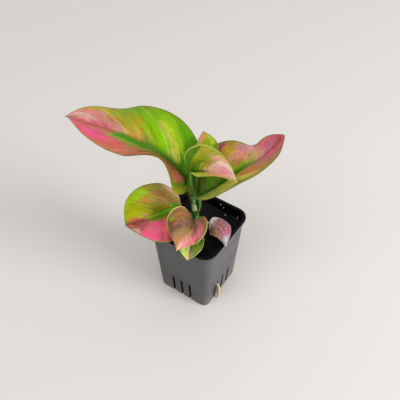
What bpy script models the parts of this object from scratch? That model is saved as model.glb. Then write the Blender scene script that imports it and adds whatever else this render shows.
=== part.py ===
"""Potted Chinese evergreen: a young plant with eight leaves in a square nursery pot.

The pot stands on the XY plane with the middle of its base at the origin, and its sides
run along X and Y. Every solid is a closed mesh in metres, and touching pieces keep a
gap of TOUCH_GAP. A leaf is one solid: its blade, its midrib and its petiole.
"""
import math

import bmesh
import bpy
from mathutils import Matrix, Vector, noise

MM = 0.001
TOUCH_GAP = 0.3 * MM

# Pot: a tapered square cup with rounded corners and a turned-out rim
POT_HEIGHT = 86.0 * MM
POT_BASE_HALF = 27.1 * MM
POT_TOP_HALF = 33.4 * MM
POT_BASE_CORNER = 5.2 * MM
POT_TOP_CORNER = 10.6 * MM
POT_WALL = 1.2 * MM
POT_FLOOR = 1.6 * MM
RIM_HALF = 35.0 * MM
RIM_DEPTH = 2.8 * MM
CORNER_STEPS = 8
BASE_EDGE = 1.0 * MM

# Three drain slits in each side, cut through the wall and a little under the base
SLIT_WIDTH = 2.4 * MM
SLIT_HEIGHT = 25.5 * MM
SLIT_PITCH = 9.5 * MM
SLIT_UNDER = 3.5 * MM

# Soil
SOIL_TOP = 77.0 * MM
SOIL_RINGS = 7
SOIL_LUMP = 1.1 * MM
SOIL_LUMP_SIZE = 9.0 * MM

# Stem: it leans a little to the left as it rises
STEM_FOOT = Vector((0.0, 0.0, 60.0)) * MM
STEM_TOP = Vector((-3.8, -2.6, 128.0)) * MM
STEM_FOOT_RADIUS = 3.4 * MM
STEM_TOP_RADIUS = 2.5 * MM
STEM_SCAR = 0.25 * MM
STEM_SCARS = 7

# Root: from under the stem, out through a slit of the +X side and down to the floor
ROOT_ROUTE = (
    (0.0, 0.0, 57.0),
    (3.0, -1.5, 47.0),
    (10.0, -5.0, 36.0),
    (19.0, -8.3, 28.0),
    (25.0, -9.3, 24.0),
    (28.2, -9.5, 21.8),
    (30.2, -9.4, 18.4),
    (30.9, -9.3, 12.5),
    (30.7, -9.5, 6.0),
    (30.2, -9.8, 0.7),
)
ROOT_RADII = (1.3, 1.3, 1.2, 1.0, 0.75, 0.75, 1.0, 1.3, 1.25, 0.85)

# Dry sheath: a papery scrap that clings to the right of the stem
SHEATH_LOW = 103.0 * MM
SHEATH_HIGH = 111.5 * MM
SHEATH_THICKNESS = 0.6 * MM
SHEATH_START = math.radians(-125.0)
SHEATH_END = math.radians(-45.0)

# Leaves. Lengths are in millimetres and angles in degrees. A row of several values is
# spread evenly from the base of the blade to its tip. heading turns the midrib about Z
# from +X, pitch lifts it, and roll lifts the left half and lowers the right one. rise is
# how far each half stands above that, and curl bends a half further across its width.
# blunt and keen shape the flat outline towards its base and its tip, lobe is how far
# each half reaches back past the petiole, and sweep leans the side veins to the tip.
BLADE_THICKNESS = 0.8 * MM
LEAVES = {
    "leaf_upper_left": {
        "base": (-8.7, -1.1, 135.0), "length": 121.5, "width": (33.0, 44.0),
        "heading": (189, 198, 191), "pitch": (49, 23, 12, 0), "roll": (9, 10, 12),
        "rise": ((-22, 31, 11, 15, 43), (55, 41, 22, 5, 25)), "curl": (0, -14),
        "blunt": 0.74, "keen": 0.95, "lobe": (14.6, 4.3), "sweep": 0.12,
        "foot": 114.0, "bow": (-2.5, -0.5), "petiole": 1.9, "rows": 22, "columns": 5,
        "colour": (0.36, 0.50, 0.03),
    },
    "leaf_right": {
        "base": (1.4, -1.5, 121.3), "length": 92.0, "width": (32.5, 25.0),
        "heading": (45, 39, 76), "pitch": (22, 46, 32, 42), "roll": (6, -3, -15),
        "rise": ((30, 43, -14, 6), (38, 23, 15, 21)), "curl": (0, 0),
        "blunt": 0.64, "keen": 0.81, "lobe": (8.0, 8.1), "sweep": 0.08,
        "foot": 97.0, "bow": (1.8, 0.8), "petiole": 1.9, "rows": 18, "columns": 4,
        "colour": (0.50, 0.26, 0.14),
    },
    "leaf_young": {
        "base": (-5.7, -4.0, 149.0), "length": 53.0, "width": (29.3, 17.0),
        "heading": (27, -8, -33), "pitch": (13, 22, 21), "roll": (13, 12),
        "rise": ((77, 83, 73), (44, 36, 48)), "curl": (0, 0),
        "blunt": 0.61, "keen": 1.02, "lobe": (5.5, -1.5), "sweep": 0.04,
        "foot": 124.0, "bow": (-0.9, -1.2), "petiole": 1.5, "rows": 16, "columns": 4,
        "colour": (0.62, 0.34, 0.20),
    },
    "leaf_back": {
        "base": (-3.6, 5.2, 143.5), "length": 36.0, "width": (9.0, 16.5),
        "heading": (106, 124), "pitch": (46, 18), "roll": (0, 0),
        "rise": ((62, 48), (28, 19)), "curl": (0, 0),
        "blunt": 0.59, "keen": 1.01, "lobe": (3.0, 3.0), "sweep": 0.05,
        "foot": 120.0, "bow": (-0.6, 0.6), "petiole": 1.1, "rows": 12, "columns": 3,
        "colour": (0.45, 0.45, 0.08),
    },
    "leaf_lower_left": {
        "base": (-16.3, -2.5, 98.0), "length": 55.3, "width": (28.7, 28.8),
        "heading": (252, 239, 221), "pitch": (18.5, -1.5, -15), "roll": (-11, 5),
        "rise": ((-14, -10, 45), (9, 45, 65)), "curl": (0, 0),
        "blunt": 0.51, "keen": 0.80, "lobe": (0.0, 9.2), "sweep": 0.21,
        "foot": 90.0, "bow": (-1.5, -0.5), "petiole": 1.4, "rows": 16, "columns": 5,
        "colour": (0.48, 0.22, 0.10),
    },
    "leaf_front": {
        "base": (4.1, -12.9, 103.0), "length": 37.2, "width": (15.8, 21.1),
        "heading": (291, 276, 277), "pitch": (30, -7, -42), "roll": (-3, 0),
        "rise": ((40, -7, -40), (46, -13, -48)), "curl": (0, 0),
        "blunt": 0.46, "keen": 1.07, "lobe": (0.5, 2.0), "sweep": 0.06,
        "foot": 86.0, "bow": (0.0, -1.5), "petiole": 1.1, "rows": 14, "columns": 4,
        "colour": (0.62, 0.24, 0.20),
    },
    "leaf_front_green": {
        "base": (5.2, -14.5, 88.9), "length": 33.4, "width": (11.2, 13.0),
        "heading": (294, 296), "pitch": (14, -9), "roll": (-8, -8),
        "rise": ((16, 9), (22, 14)), "curl": (0, 0),
        "blunt": 0.62, "keen": 0.99, "lobe": (3.0, 3.0), "sweep": 0.09,
        "foot": 80.5, "bow": (2.0, -4.0), "petiole": 1.0, "rows": 12, "columns": 3,
        "colour": (0.40, 0.48, 0.06),
    },
    "leaf_withered": {
        "base": (8.0, 7.2, 83.3), "length": 36.2, "width": (11.8, 7.9),
        "heading": (342, 309), "pitch": (3.7, 12.8), "roll": (0, 0),
        "rise": ((8, 51), (-44, 65)), "curl": (0, 0),
        "blunt": 0.66, "keen": 0.93, "lobe": (5.8, 0.5), "sweep": 0.07,
        "foot": 80.0, "bow": (1.0, 2.0), "petiole": 0.9, "rows": 12, "columns": 3,
        "colour": (0.42, 0.25, 0.28),
    },
}


def clear_scene():
    for item in list(bpy.data.objects):
        bpy.data.objects.remove(item, do_unlink=True)


def make_material(name, colour, roughness):
    material = bpy.data.materials.new(name)
    material.use_nodes = True
    shader = material.node_tree.nodes["Principled BSDF"]
    shader.inputs["Base Color"].default_value = (*colour, 1.0)
    shader.inputs["Roughness"].default_value = roughness
    shader.inputs["Metallic"].default_value = 0.0
    return material


def add_object(name, bm, material=None):
    """Turn a bmesh into a linked object, with its faces pointing out."""
    bmesh.ops.recalc_face_normals(bm, faces=bm.faces)
    mesh = bpy.data.meshes.new(name)
    bm.to_mesh(mesh)
    bm.free()
    if material:
        mesh.materials.append(material)
    thing = bpy.data.objects.new(name, mesh)
    bpy.context.collection.objects.link(thing)
    return thing


def apply_modifiers(thing):
    """Replace the object's mesh by its evaluated one and drop its modifiers."""
    bpy.context.view_layer.update()
    graph = bpy.context.evaluated_depsgraph_get()
    mesh = bpy.data.meshes.new_from_object(thing.evaluated_get(graph))
    thing.modifiers.clear()
    thing.data = mesh


def combine(thing, other, operation):
    """Join or cut with a Boolean, apply it, and remove the other object."""
    modifier = thing.modifiers.new(operation.lower(), "BOOLEAN")
    modifier.operation = operation
    modifier.solver = "EXACT"
    modifier.object = other
    apply_modifiers(thing)
    bpy.data.objects.remove(other, do_unlink=True)


def smooth_shade(thing, degrees=35.0):
    thing.data.shade_smooth()
    thing.data.set_sharp_from_angle(angle=math.radians(degrees))


def mix(start, end, share):
    return start + (end - start) * share


def along(keys, share):
    """Smooth value at a share (0 to 1) of the way through evenly spaced keys."""
    if len(keys) == 1:
        return keys[0]
    place = min(max(share, 0.0), 1.0) * (len(keys) - 1)
    index = min(int(place), len(keys) - 2)
    part = place - index
    here = keys[index]
    there = keys[index + 1]
    before = keys[index - 1] if index > 0 else 2 * here - there
    after = keys[index + 2] if index + 2 < len(keys) else 2 * there - here
    slope = (there - before) * part
    bend = (2 * before - 5 * here + 4 * there - after) * part ** 2
    twist = (3 * here - before - 3 * there + after) * part ** 3
    return 0.5 * (2 * here + slope + bend + twist)


def smooth_route(points, steps):
    """Points of one smooth curve through the given points."""
    columns = list(zip(*points))
    shares = [step / steps for step in range(steps + 1)]
    return [Vector([along(column, share) for column in columns]) for share in shares]


def make_tube(name, points, radii, material=None, resolution=2):
    """Closed tube along the points: a bevelled curve with filled caps, made a mesh."""
    curve = bpy.data.curves.new(name, "CURVE")
    curve.dimensions = "3D"
    curve.bevel_depth = 1.0
    curve.bevel_resolution = resolution
    curve.use_fill_caps = True
    spline = curve.splines.new("POLY")
    spline.points.add(len(points) - 1)
    for knot, point, radius in zip(spline.points, points, radii):
        knot.co = (*point, 1.0)
        knot.radius = radius
    holder = bpy.data.objects.new(name + "_curve", curve)
    bpy.context.collection.objects.link(holder)
    bpy.context.view_layer.update()
    graph = bpy.context.evaluated_depsgraph_get()
    mesh = bpy.data.meshes.new_from_object(holder.evaluated_get(graph))
    bpy.data.objects.remove(holder, do_unlink=True)
    bm = bmesh.new()
    bm.from_mesh(mesh)
    bmesh.ops.remove_doubles(bm, verts=bm.verts, dist=0.005 * MM)
    return add_object(name, bm, material)


# ---- pot and soil

def pot_half(height):
    """Half the outer width of the pot's wall at a height."""
    return mix(POT_BASE_HALF, POT_TOP_HALF, height / POT_HEIGHT)


def pot_corner(height):
    return mix(POT_BASE_CORNER, POT_TOP_CORNER, height / POT_HEIGHT)


def rounded_square(half, corner, height):
    """Points of a square with rounded corners, anticlockwise from its +X side."""
    points = []
    for quarter in range(4):
        turn = Matrix.Rotation(quarter * math.pi / 2, 2)
        for step in range(CORNER_STEPS + 1):
            angle = step / CORNER_STEPS * math.pi / 2
            reach = half - corner
            spot = Vector((reach + corner * math.cos(angle), reach + corner * math.sin(angle)))
            spot = turn @ spot
            points.append(Vector((spot.x, spot.y, height)))
    return points


def add_loop(bm, points):
    return [bm.verts.new(point) for point in points]


def bridge(bm, lower, upper):
    """Quads between two loops of the same number of points."""
    count = len(lower)
    for index in range(count):
        after = (index + 1) % count
        bm.faces.new((lower[index], lower[after], upper[after], upper[index]))


def build_pot():
    """One wall from the base, over the turned-out rim, and down inside to the floor."""
    lip_low = POT_HEIGHT - RIM_DEPTH
    edge = 0.6 * MM
    inner_top = POT_HEIGHT - edge
    sections = (
        (pot_half(0) - BASE_EDGE, pot_corner(0) - BASE_EDGE, 0.0),
        (pot_half(BASE_EDGE), pot_corner(BASE_EDGE), BASE_EDGE),
        (pot_half(lip_low), pot_corner(lip_low), lip_low),
        (RIM_HALF - edge, POT_TOP_CORNER + 1.0 * MM, lip_low),
        (RIM_HALF, POT_TOP_CORNER + 1.6 * MM, lip_low + edge),
        (RIM_HALF, POT_TOP_CORNER + 1.6 * MM, inner_top),
        (RIM_HALF - edge, POT_TOP_CORNER + 1.0 * MM, POT_HEIGHT),
        (POT_TOP_HALF - POT_WALL + edge, POT_TOP_CORNER - POT_WALL + edge, POT_HEIGHT),
        (POT_TOP_HALF - POT_WALL, POT_TOP_CORNER - POT_WALL, inner_top),
        (pot_half(POT_FLOOR) - POT_WALL, pot_corner(POT_FLOOR) - POT_WALL, POT_FLOOR),
    )
    bm = bmesh.new()
    loops = [add_loop(bm, rounded_square(*section)) for section in sections]
    for lower, upper in zip(loops, loops[1:]):
        bridge(bm, lower, upper)
    bm.faces.new(loops[0])
    bm.faces.new(loops[-1])
    pot = add_object("pot", bm, make_material("pot_plastic", (0.05, 0.05, 0.054), 0.45))
    combine(pot, build_slit_cutter(), "DIFFERENCE")
    smooth_shade(pot)
    return pot


def build_slit_cutter():
    """All twelve slits as bars that stand in the walls and pass under the base edge."""
    bm = bmesh.new()
    outside = 8.0 * MM
    inner = POT_BASE_HALF - SLIT_UNDER
    length = outside + SLIT_UNDER
    low = -2.0 * MM
    size = (length, SLIT_WIDTH, SLIT_HEIGHT - low)
    for side in range(4):
        turn = Matrix.Rotation(side * math.pi / 2, 4, "Z")
        for column in (-1, 0, 1):
            middle = Vector((inner + length / 2, column * SLIT_PITCH, (SLIT_HEIGHT + low) / 2))
            place = turn @ Matrix.Translation(middle) @ Matrix.Diagonal((*size, 1.0))
            bmesh.ops.create_cube(bm, size=1.0, matrix=place)
    cutter = add_object("slit_cutter", bm)
    cutter.hide_render = True
    cutter.display_type = "WIRE"
    return cutter


def soil_lump(x, y):
    """Height of the crumbs on the soil above its mean level."""
    spot = Vector((x, y, 0.0)) / SOIL_LUMP_SIZE
    return SOIL_LUMP * noise.noise(spot)


def build_soil():
    """Tapered block just inside the pot, with a lumpy top made of shrinking loops."""
    room = POT_WALL + TOUCH_GAP
    bottom = POT_FLOOR + TOUCH_GAP
    bm = bmesh.new()
    base = add_loop(bm, rounded_square(pot_half(bottom) - room, pot_corner(bottom) - room, bottom))
    bm.faces.new(base)
    half = pot_half(SOIL_TOP) - room
    corner = pot_corner(SOIL_TOP) - room
    previous = base
    for ring in range(SOIL_RINGS):
        share = 1.0 - ring / SOIL_RINGS
        points = rounded_square(half * share, corner * share, SOIL_TOP)
        for point in points:
            point.z += soil_lump(point.x, point.y)
        loop = add_loop(bm, points)
        bridge(bm, previous, loop)
        previous = loop
    middle = bm.verts.new((0.0, 0.0, SOIL_TOP + soil_lump(0.0, 0.0)))
    for index, vert in enumerate(previous):
        bm.faces.new((vert, previous[(index + 1) % len(previous)], middle))
    soil = add_object("soil", bm, make_material("soil", (0.012, 0.010, 0.009), 0.95))
    combine(soil, build_stem("stem_hole", TOUCH_GAP), "DIFFERENCE")
    combine(soil, build_root("root_hole", TOUCH_GAP), "DIFFERENCE")
    smooth_shade(soil, 50.0)
    return soil


# ---- stem, root and sheath

def stem_point(height):
    """Middle of the stem at a height."""
    share = (height - STEM_FOOT.z) / (STEM_TOP.z - STEM_FOOT.z)
    return STEM_FOOT.lerp(STEM_TOP, share)


def stem_radius(height):
    share = (height - STEM_FOOT.z) / (STEM_TOP.z - STEM_FOOT.z)
    return mix(STEM_FOOT_RADIUS, STEM_TOP_RADIUS, share)


def build_stem(name, extra=0.0, material=None):
    """Leaning stem with a low ring at each old leaf scar, rounded at both ends."""
    low = STEM_FOOT.z - extra
    high = STEM_TOP.z + extra
    heights = [low]
    radii = [0.6 * STEM_FOOT_RADIUS + extra]
    steps = STEM_SCARS * 4
    for step in range(1, steps):
        share = step / steps
        height = mix(low, high, share)
        heights.append(height)
        scar = STEM_SCAR if step % 4 == 0 else 0.0
        radii.append(stem_radius(height) + scar + extra)
    heights.append(high)
    radii.append(0.7 * STEM_TOP_RADIUS + extra)
    return make_tube(name, [stem_point(height) for height in heights], radii, material)


def build_root(name, extra=0.0, material=None):
    """The root's tube. It is thin where it squeezes through the slit."""
    steps = 4 * (len(ROOT_ROUTE) - 1)
    points = [point * MM for point in smooth_route(ROOT_ROUTE, steps)]
    radii = [along(ROOT_RADII, step / steps) * MM + extra for step in range(steps + 1)]
    if extra:
        points = points[:-2]
        radii = radii[:-2]
        points[0] = points[0] + (points[0] - points[1]).normalized() * extra
    return make_tube(name, points, radii, material)


def build_sheath():
    """Curved scrap of dry leaf base, a little way off the stem's surface."""
    bm = bmesh.new()
    rows = 4
    columns = 8
    grid = []
    for row in range(rows + 1):
        height = mix(SHEATH_LOW, SHEATH_HIGH, row / rows)
        taper = 1.0 - 0.45 * (row / rows) ** 2
        line = []
        for column in range(columns + 1):
            share = column / columns - 0.5
            middle = (SHEATH_START + SHEATH_END) / 2
            angle = middle + share * (SHEATH_END - SHEATH_START) * taper
            flare = 1.0 * MM * (row / rows) ** 2
            radius = stem_radius(height) + STEM_SCAR + 2.0 * TOUCH_GAP + flare
            spot = stem_point(height) + radius * Vector((math.cos(angle), math.sin(angle), 0.0))
            line.append(bm.verts.new(spot))
        grid.append(line)
    for low, high in zip(grid, grid[1:]):
        for column in range(columns):
            bm.faces.new((low[column], low[column + 1], high[column + 1]))
            bm.faces.new((low[column], high[column + 1], high[column]))
    sheath = add_object("dry_sheath", bm, make_material("dry_sheath", (0.55, 0.50, 0.38), 0.8))
    thicken(sheath, SHEATH_THICKNESS, 1.0)
    smooth_shade(sheath)
    return sheath


def thicken(thing, thickness, side):
    """Give a sheet its thickness, all of it above (1) or below (-1) its faces."""
    modifier = thing.modifiers.new("thickness", "SOLIDIFY")
    modifier.thickness = thickness
    modifier.offset = side
    apply_modifiers(thing)


# ---- leaves

def midrib_frames(leaf, steps=80):
    """Points down the midrib, each with its direction, its left side and its normal."""
    length = leaf["length"] * MM
    frames = []
    place = Vector(leaf["base"]) * MM
    last = None
    for step in range(steps + 1):
        share = step / steps
        heading = math.radians(along(leaf["heading"], share))
        pitch = math.radians(along(leaf["pitch"], share))
        roll = math.radians(along(leaf["roll"], share))
        ahead = Vector((math.cos(pitch) * math.cos(heading),
                        math.cos(pitch) * math.sin(heading), math.sin(pitch)))
        level = Vector((-math.sin(heading), math.cos(heading), 0.0))
        upright = ahead.cross(level)
        left = math.cos(roll) * level + math.sin(roll) * upright
        normal = math.cos(roll) * upright - math.sin(roll) * level
        if last:
            place = place + (last + ahead) / 2 * length / steps
        frames.append((place, ahead, left, normal))
        last = ahead
    return frames


def frame_at(frames, share):
    place = min(max(share, 0.0), 1.0) * (len(frames) - 1)
    index = min(int(place), len(frames) - 2)
    return [a.lerp(b, place - index) for a, b in zip(frames[index], frames[index + 1])]


def margin_point(leaf, share, side):
    """Flat place of the leaf's edge: along the midrib, and out from it, in metres."""
    length = leaf["length"] * MM
    blunt = leaf["blunt"]
    keen = leaf["keen"]
    peak = (blunt / (blunt + keen)) ** blunt * (keen / (blunt + keen)) ** keen
    out = leaf["width"][side] * MM * share ** blunt * (1 - share) ** keen / peak
    lean = leaf["sweep"] * math.sin(math.pi * share) * share ** 0.3
    back = math.sin(math.pi * min(share / 0.3, 1.0) ** 0.7)
    return length * (share + lean) - leaf["lobe"][side] * MM * back, out


def blade_point(leaf, frames, flat, side):
    """Place in space of a flat point of one half (0 left, 1 right) of the blade."""
    down, out = flat
    length = leaf["length"] * MM
    share = down / length
    inside = min(max(share, 0.0), 1.0)
    place, ahead, left, normal = frame_at(frames, share)
    place = place + ahead * (share - inside) * length
    rise = math.radians(along(leaf["rise"][side], inside))
    curl = math.radians(leaf["curl"][side]) / (leaf["width"][side] * MM)
    if abs(curl) < 0.001:
        across = out * math.cos(rise)
        above = out * math.sin(rise)
    else:
        across = (math.sin(rise + curl * out) - math.sin(rise)) / curl
        above = (math.cos(rise) - math.cos(rise + curl * out)) / curl
    hand = 1.0 if side == 0 else -1.0
    return place + hand * across * left + above * normal


def build_blade(name, leaf):
    """Blade as a sheet of rows along the side veins, split alike on both faces."""
    frames = midrib_frames(leaf)
    rows = leaf["rows"]
    columns = leaf["columns"]
    length = leaf["length"] * MM
    bm = bmesh.new()
    grid = []
    for row in range(1, rows):
        share = row / rows
        line = []
        for column in range(-columns, columns + 1):
            side = 0 if column < 0 else 1
            down, out = margin_point(leaf, share, side)
            reach = abs(column) / columns
            flat = (mix(length * share, down, reach), out * reach)
            spot = blade_point(leaf, frames, flat, side)
            line.append(bm.verts.new(spot))
        grid.append(line)
    for near, far in zip(grid, grid[1:]):
        for column in range(2 * columns):
            bm.faces.new((near[column], near[column + 1], far[column + 1]))
            bm.faces.new((near[column], far[column + 1], far[column]))
    for line, share in ((grid[0], 0.0), (grid[-1], 1.0)):
        end = bm.verts.new(frame_at(frames, share)[0])
        for column in range(2 * columns):
            bm.faces.new((line[column], line[column + 1], end))
    blade = add_object(name, bm)
    normals = [polygon.normal.dot(frames[40][3]) for polygon in blade.data.polygons]
    if sum(normals) < 0:
        blade.data.flip_normals()
    thicken(blade, BLADE_THICKNESS, -1.0)
    return blade


def petiole_route(leaf):
    """From inside the stem, out in a bow to the blade, then along under the midrib."""
    frames = midrib_frames(leaf)
    foot = stem_point(leaf["foot"] * MM)
    base = Vector(leaf["base"]) * MM
    bow = Vector((leaf["bow"][0], leaf["bow"][1], 0.0)) * MM
    middle = foot.lerp(base, 0.5) + bow
    sunk = 0.45 * BLADE_THICKNESS
    points = [foot, middle]
    radii = [leaf["petiole"] * 1.15, leaf["petiole"]]
    for share in (0.0, 0.08, 0.2, 0.35, 0.5, 0.65):
        place, ahead, left, normal = frame_at(frames, share)
        points.append(place - normal * sunk)
        radii.append(mix(leaf["petiole"] * 0.9, 0.45, share / 0.65))
    steps = 3 * (len(points) - 1)
    route = smooth_route(points, steps)
    return route, [along(radii, step / steps) * MM for step in range(steps + 1)]


def build_leaf(name, leaf):
    thing = build_blade(name, leaf)
    points, radii = petiole_route(leaf)
    petiole = make_tube(name + "_petiole", points, radii)
    combine(thing, petiole, "UNION")
    combine(thing, build_stem("stem_clearance", TOUCH_GAP), "DIFFERENCE")
    thing.data.materials.clear()
    thing.data.materials.append(make_material(name, leaf["colour"], 0.4))
    smooth_shade(thing)
    return thing


def main():
    clear_scene()
    build_pot()
    build_soil()
    build_stem("stem", 0.0, make_material("stem", (0.10, 0.22, 0.05), 0.5))
    build_root("root", 0.0, make_material("root", (0.50, 0.42, 0.18), 0.6))
    build_sheath()
    for name, leaf in LEAVES.items():
        build_leaf(name, leaf)


main()
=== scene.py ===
import random
from math import atan2, copysign, cos, exp, hypot, pi, radians, sin, sqrt

import bmesh
import bpy
from mathutils import Matrix, Vector, noise


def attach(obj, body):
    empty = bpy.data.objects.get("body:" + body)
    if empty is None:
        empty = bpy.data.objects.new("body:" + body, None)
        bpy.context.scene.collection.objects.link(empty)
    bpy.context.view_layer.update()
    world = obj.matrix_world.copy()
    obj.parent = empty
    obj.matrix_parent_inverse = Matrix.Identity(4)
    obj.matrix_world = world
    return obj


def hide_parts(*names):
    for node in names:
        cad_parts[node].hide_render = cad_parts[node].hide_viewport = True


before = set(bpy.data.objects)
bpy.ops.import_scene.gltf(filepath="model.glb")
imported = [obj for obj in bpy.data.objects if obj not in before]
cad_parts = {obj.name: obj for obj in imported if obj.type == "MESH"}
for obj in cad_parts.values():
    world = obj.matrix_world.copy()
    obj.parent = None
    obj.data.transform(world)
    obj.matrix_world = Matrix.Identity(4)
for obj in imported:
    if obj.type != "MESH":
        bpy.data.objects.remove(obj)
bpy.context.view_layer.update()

mm = 0.001
random.seed(41)


# ---- camera and studio

view = dict(
    spot=(185.15, -272.24, 466.97),  # mm
    azimuth=33.96, elevation=46.95, roll=0.25, lens=49.455, sensor=36,
)
studio = dict(
    floorColour="d0cbc6", floorSize=6.0, floorRough=0.7,
    sky=(0.97, 0.98, 1.0), skyStrength=0.7,
    aim=(-0.03, 0.0, 0.1), lamps={  # place, size, power
        "keyLight": ((2.1, 0.32, 0.46), 1.2, 88.0),
        "frontLight": ((-0.5, -2.0, 3.0), 2.3, 36.0),
    },
)


def colourOf(code):
    # six hex digits as a linear colour
    steps = [int(code[place:place + 2], 16) / 255 for place in (0, 2, 4)]
    return tuple(s / 12.92 if s < 0.04045 else ((s + 0.055) / 1.055) ** 2.4 for s in steps)


def clearSelection():
    if bpy.context.mode != "OBJECT":
        bpy.ops.object.mode_set(mode="OBJECT")
    bpy.ops.object.select_all(action="DESELECT")


def addCamera():
    clearSelection()
    bpy.ops.object.camera_add()
    camera = bpy.context.object
    turn = Matrix.Rotation(radians(view["azimuth"]), 4, "Z")
    tilt = Matrix.Rotation(radians(90 - view["elevation"]), 4, "X")
    roll = Matrix.Rotation(radians(view["roll"]), 4, "Z")
    camera.matrix_world = Matrix.Translation(Vector(view["spot"]) * mm) @ turn @ tilt @ roll
    camera.data.lens = view["lens"]
    camera.data.sensor_width = view["sensor"]
    camera.data.clip_start = 0.01
    bpy.context.scene.camera = camera


def addSoftLight(name, spot, size, power):
    bpy.ops.object.light_add(type="AREA", location=spot)
    lamp = bpy.context.object
    lamp.name = name
    lamp.data.shape = "DISK"
    lamp.data.size = size
    lamp.data.energy = power
    lamp.rotation_euler = (Vector(spot) - Vector(studio["aim"])).to_track_quat("Z", "Y").to_euler()


def addStudio():
    clearSelection()
    bpy.ops.mesh.primitive_plane_add(size=studio["floorSize"], location=(0, 0, 0))
    floor = bpy.context.object
    floor.name = "studioFloor"
    cover = bpy.data.materials.new("studioFloor")
    cover.use_nodes = True
    shader = cover.node_tree.nodes["Principled BSDF"]
    shader.inputs["Base Color"].default_value = (*colourOf(studio["floorColour"]), 1)
    shader.inputs["Roughness"].default_value = studio["floorRough"]
    floor.data.materials.append(cover)
    world = bpy.context.scene.world or bpy.data.worlds.new("studio")
    bpy.context.scene.world = world
    world.use_nodes = True
    sky = world.node_tree.nodes["Background"]
    sky.inputs["Color"].default_value = (*studio["sky"], 1)
    sky.inputs["Strength"].default_value = studio["skyStrength"]
    for name, lamp in studio["lamps"].items():
        addSoftLight(name, *lamp)
    bpy.context.scene.view_settings.view_transform = "Standard"


addCamera()
addStudio()
print("camera and studio are set")


# ---- modelling helpers

def mix(start, end, share):
    return start + (end - start) * share


def bell(value, width):
    return exp(-(value / width) ** 2)


def step(low, high, value):
    share = min(max((value - low) / (high - low), 0.0), 1.0)
    return share * share * (3 - 2 * share)


def pick(piece, kind, test):
    # selects the faces, edges or verts that pass the test, in edit mode
    bpy.ops.mesh.select_mode(type={"faces": "FACE", "edges": "EDGE", "verts": "VERT"}[kind])
    bpy.ops.mesh.select_all(action="DESELECT")
    shape = bmesh.from_edit_mesh(piece.data)
    for part in getattr(shape, kind):
        part.select_set(bool(test(part)))
    shape.select_flush_mode()
    bmesh.update_edit_mesh(piece.data)


def useOnly(piece):
    clearSelection()
    piece.select_set(True)
    bpy.context.view_layer.objects.active = piece


def applyAll(piece):
    useOnly(piece)
    for modifier in list(piece.modifiers):
        bpy.ops.object.modifier_apply(modifier=modifier.name)


def weld(piece, gap, capEnds=False):
    # merges doubles closer than the gap in mm, closes open ends and turns the faces outwards
    useOnly(piece)
    bpy.ops.object.mode_set(mode="EDIT")
    bpy.ops.mesh.select_all(action="SELECT")
    bpy.ops.mesh.remove_doubles(threshold=gap * mm)
    if capEnds:
        bpy.ops.mesh.select_all(action="SELECT")
        bpy.ops.mesh.fill_holes(sides=0)
        bpy.ops.mesh.select_all(action="SELECT")
        bpy.ops.mesh.normals_make_consistent(inside=False)
    bpy.ops.object.mode_set(mode="OBJECT")


def addCopy(piece, name, move=Matrix()):
    # a copy with its own mesh, moved by a matrix
    copy = bpy.data.objects.new(name, piece.data.copy())
    copy.data.transform(move)
    bpy.context.collection.objects.link(copy)
    return copy


def joinAll(pieces):
    useOnly(pieces[0])
    for piece in pieces:
        piece.select_set(True)
    bpy.ops.object.join()
    return pieces[0]


def finishPiece(piece, node, coats=(), degrees=60, replaced=True):
    # smooths and dresses a piece, seats it on the body and hides the part it replaces
    useOnly(piece)
    bpy.ops.object.shade_smooth_by_angle(angle=radians(degrees))
    for coat in coats:
        piece.data.materials.append(coat)
    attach(piece, "root")
    if replaced:
        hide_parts(node)


def layGrid(name, rows, columns, spot, ease=None):
    # a grid primitive, laid on the surface that spot(u, v) gives in mm
    clearSelection()
    bpy.ops.mesh.primitive_grid_add(x_subdivisions=rows, y_subdivisions=columns, size=2)
    piece = bpy.context.object
    piece.name = name
    ease = ease or (lambda value: value)
    for point in piece.data.vertices:
        u, v = ease((point.co.x + 1) / 2), (point.co.y + 1) / 2
        point.co = Vector(spot(u, v)) * mm
    for corner in piece.data.uv_layers[0].data:
        corner.uv.x = ease(corner.uv.x)
    return piece


def pushOut(piece, amount):
    # moves each point of a sheet along its normal by amount(u, v, place) mm
    uvOf = {}
    layer = piece.data.uv_layers[0].data
    for loop in piece.data.loops:
        uvOf.setdefault(loop.vertex_index, layer[loop.index].uv.copy())
    moves = [point.normal * amount(*uvOf[point.index], point.co / mm) * mm
             for point in piece.data.vertices]
    for point, move in zip(piece.data.vertices, moves):
        point.co += move


# ---- shader helpers: each adds to the finish that startFinish opened last

canvas = {}


def startFinish(name):
    canvas["finish"] = bpy.data.materials.new(name)
    canvas["finish"].use_nodes = True
    canvas["tree"] = canvas["finish"].node_tree


def feed(socket, value):
    # joins a socket to another one, or sets it to a number, a place or a colour code
    if isinstance(value, bpy.types.NodeSocket):
        canvas["tree"].links.new(value, socket)
    elif isinstance(value, str):
        socket.default_value = (*colourOf(value), 1)
    else:
        socket.default_value = value


def addNode(kind, inputs, **settings):
    # a node's outputs, once its settings are made and its inputs are fed
    node = canvas["tree"].nodes.new("ShaderNode" + kind)
    for name, value in settings.items():
        setattr(node, name, value)
    for place, value in inputs.items():
        feed(node.inputs[place], value)
    return node.outputs


def objectSpot():
    return addNode("TexCoord", {})["Object"]


def uvSpot():
    return addNode("UVMap", {}, uv_map="UVMap")["UV"]


def splitUp(spot):
    return addNode("SeparateXYZ", {0: spot})


def placed(spot, move=(0, 0, 0), grow=(1, 1, 1), kind="POINT"):
    inputs = {"Vector": spot, "Location": move, "Scale": grow}
    return addNode("Mapping", inputs, vector_type=kind)["Vector"]


def grain(spot, scale, detail=3.0, rough=0.55, output="Fac"):
    inputs = {"Vector": spot, "Scale": scale, "Detail": detail, "Roughness": rough}
    return addNode("TexNoise", inputs)[output]


def sums(kind, first, second=0.0):
    return addNode("Math", {0: first, 1: second}, operation=kind)[0]


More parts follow.
